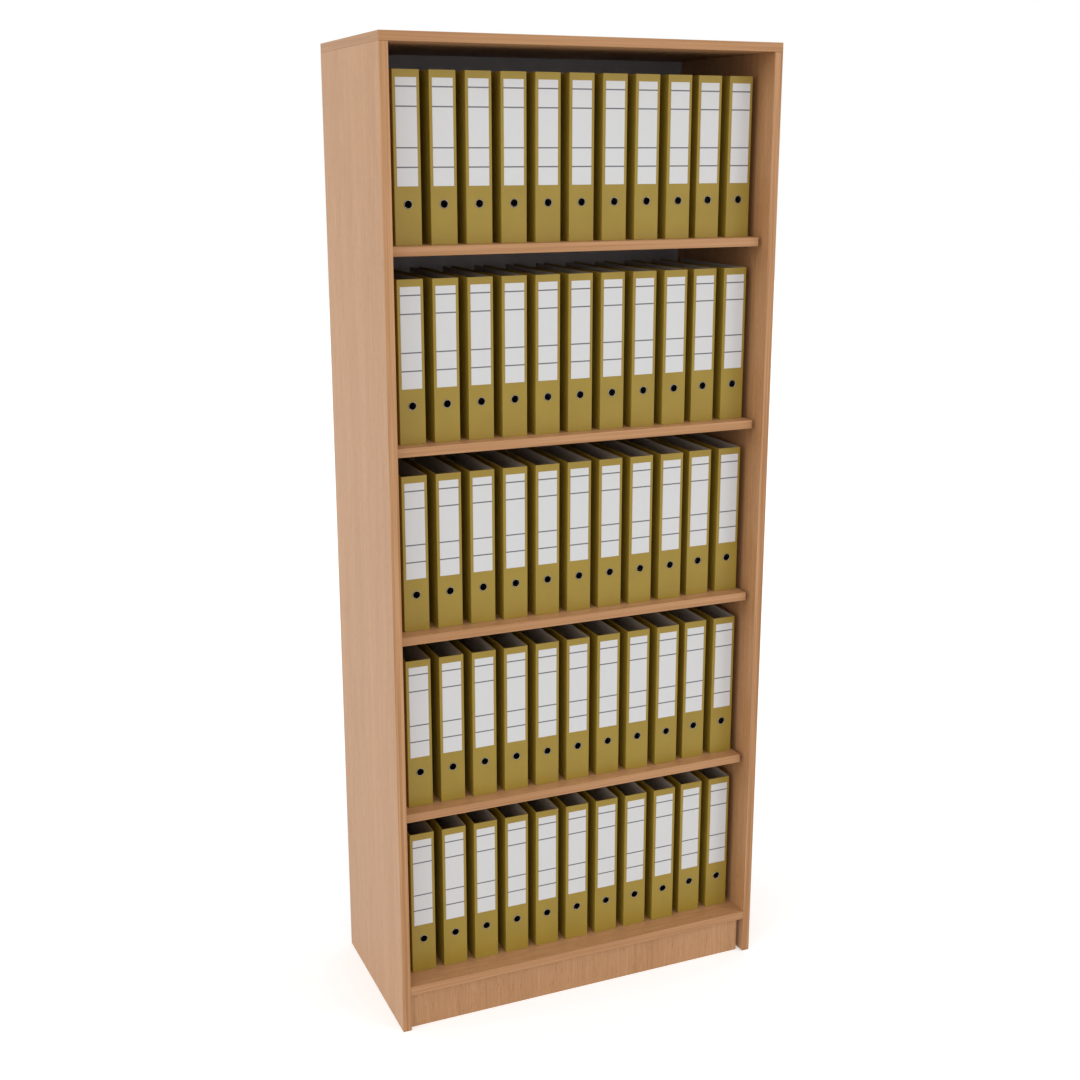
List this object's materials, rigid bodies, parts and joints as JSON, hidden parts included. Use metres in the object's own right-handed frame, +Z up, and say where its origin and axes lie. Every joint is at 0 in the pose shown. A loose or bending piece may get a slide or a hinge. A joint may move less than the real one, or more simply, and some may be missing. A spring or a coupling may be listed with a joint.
{
  "type": "filing shelf",
  "caption": "Tall open filing shelf in beech laminate with loose shelves, a grey back and rows of lever-arch files that slide out.",
  "frame": {"origin": "on the floor, under the middle of the bookcase's outline", "axes": "+Z up, the open front faces -Y, +X to the right as seen from the front"},
  "size_m": [0.836, 0.39, 2],
  "materials": {
    "beech": "satin beech laminate on board",
    "beech_edge": "satin beech-coloured edging strip",
    "back_board": "matt grey board",
    "dowel_wood": "raw turned wood",
    "steel": "bright zinc plate",
    "file_cover": "board with a satin golden-olive covering",
    "label_paper": "matt off-white paper",
    "ring_chrome": "bright plate",
    "mechanism_steel": "bright nickel plate"
  },
  "bodies": {
    "carcass": {"left_side": "beech", "right_side": "beech", "top_panel": "beech", "bottom_panel": "beech", "plinth": "beech", "back_panel": "back_board", "carcass_edging": "beech_edge", "dowels": "dowel_wood", "shelf_studs": "steel", "back_screws": "steel"},
    "shelf_1": {"shelf_1": "beech", "shelf_1_edging": "beech_edge"},
    "shelf_2": {"shelf_2": "beech", "shelf_2_edging": "beech_edge"},
    "shelf_3": {"shelf_3": "beech", "shelf_3_edging": "beech_edge"},
    "shelf_4": {"shelf_4": "beech", "shelf_4_edging": "beech_edge"},
    "file_row_1": {"file_row_1_boards": "file_cover", "file_row_1_labels": "label_paper", "file_row_1_finger_rings": "ring_chrome", "file_row_1_mechanisms": "mechanism_steel"},
    "single_file_1": {"single_file_1_boards": "file_cover", "single_file_1_label": "label_paper", "single_file_1_finger_ring": "ring_chrome", "single_file_1_mechanism": "mechanism_steel"},
    "file_row_2": {"file_row_2_boards": "file_cover", "file_row_2_labels": "label_paper", "file_row_2_finger_rings": "ring_chrome", "file_row_2_mechanisms": "mechanism_steel"},
    "single_file_2": {"single_file_2_boards": "file_cover", "single_file_2_label": "label_paper", "single_file_2_finger_ring": "ring_chrome", "single_file_2_mechanism": "mechanism_steel"},
    "file_row_3": {"file_row_3_boards": "file_cover", "file_row_3_labels": "label_paper", "file_row_3_finger_rings": "ring_chrome", "file_row_3_mechanisms": "mechanism_steel"},
    "single_file_3": {"single_file_3_boards": "file_cover", "single_file_3_label": "label_paper", "single_file_3_finger_ring": "ring_chrome", "single_file_3_mechanism": "mechanism_steel"},
    "file_row_4": {"file_row_4_boards": "file_cover", "file_row_4_labels": "label_paper", "file_row_4_finger_rings": "ring_chrome", "file_row_4_mechanisms": "mechanism_steel"},
    "single_file_4": {"single_file_4_boards": "file_cover", "single_file_4_label": "label_paper", "single_file_4_finger_ring": "ring_chrome", "single_file_4_mechanism": "mechanism_steel"},
    "file_row_5": {"file_row_5_boards": "file_cover", "file_row_5_labels": "label_paper", "file_row_5_finger_rings": "ring_chrome", "file_row_5_mechanisms": "mechanism_steel"},
    "single_file_5": {"single_file_5_boards": "file_cover", "single_file_5_label": "label_paper", "single_file_5_finger_ring": "ring_chrome", "single_file_5_mechanism": "mechanism_steel"}
  },
  "joints": [
    {"name": "lift_shelf_1", "type": "slide", "parent": "carcass", "child": "shelf_1", "axis": [0, 0, 1], "range_m": [0, 0.036]},
    {"name": "lift_shelf_2", "type": "slide", "parent": "carcass", "child": "shelf_2", "axis": [0, 0, 1], "range_m": [0, 0.036]},
    {"name": "lift_shelf_3", "type": "slide", "parent": "carcass", "child": "shelf_3", "axis": [0, 0, 1], "range_m": [0, 0.036]},
    {"name": "lift_shelf_4", "type": "slide", "parent": "carcass", "child": "shelf_4", "axis": [0, 0, 1], "range_m": [0, 0.036]},
    {"name": "draw_row_1", "type": "slide", "parent": "shelf_1", "child": "file_row_1", "axis": [0, -1, 0], "range_m": [-0.045, 0.16]},
    {"name": "draw_file_1", "type": "slide", "parent": "shelf_1", "child": "single_file_1", "axis": [0, -1, 0], "range_m": [-0.05, 0.16]},
    {"name": "draw_row_2", "type": "slide", "parent": "shelf_2", "child": "file_row_2", "axis": [0, -1, 0], "range_m": [-0.045, 0.16]},
    {"name": "draw_file_2", "type": "slide", "parent": "shelf_2", "child": "single_file_2", "axis": [0, -1, 0], "range_m": [-0.046, 0.16]},
    {"name": "draw_row_3", "type": "slide", "parent": "shelf_3", "child": "file_row_3", "axis": [0, -1, 0], "range_m": [-0.045, 0.16]},
    {"name": "draw_file_3", "type": "slide", "parent": "shelf_3", "child": "single_file_3", "axis": [0, -1, 0], "range_m": [-0.049, 0.16]},
    {"name": "draw_row_4", "type": "slide", "parent": "shelf_4", "child": "file_row_4", "axis": [0, -1, 0], "range_m": [-0.045, 0.16]},
    {"name": "draw_file_4", "type": "slide", "parent": "shelf_4", "child": "single_file_4", "axis": [0, -1, 0], "range_m": [-0.048, 0.16]},
    {"name": "draw_row_5", "type": "slide", "parent": "carcass", "child": "file_row_5", "axis": [0, -1, 0], "range_m": [-0.045, 0.16]},
    {"name": "draw_file_5", "type": "slide", "parent": "carcass", "child": "single_file_5", "axis": [0, -1, 0], "range_m": [-0.046, 0.16]}
  ]
}
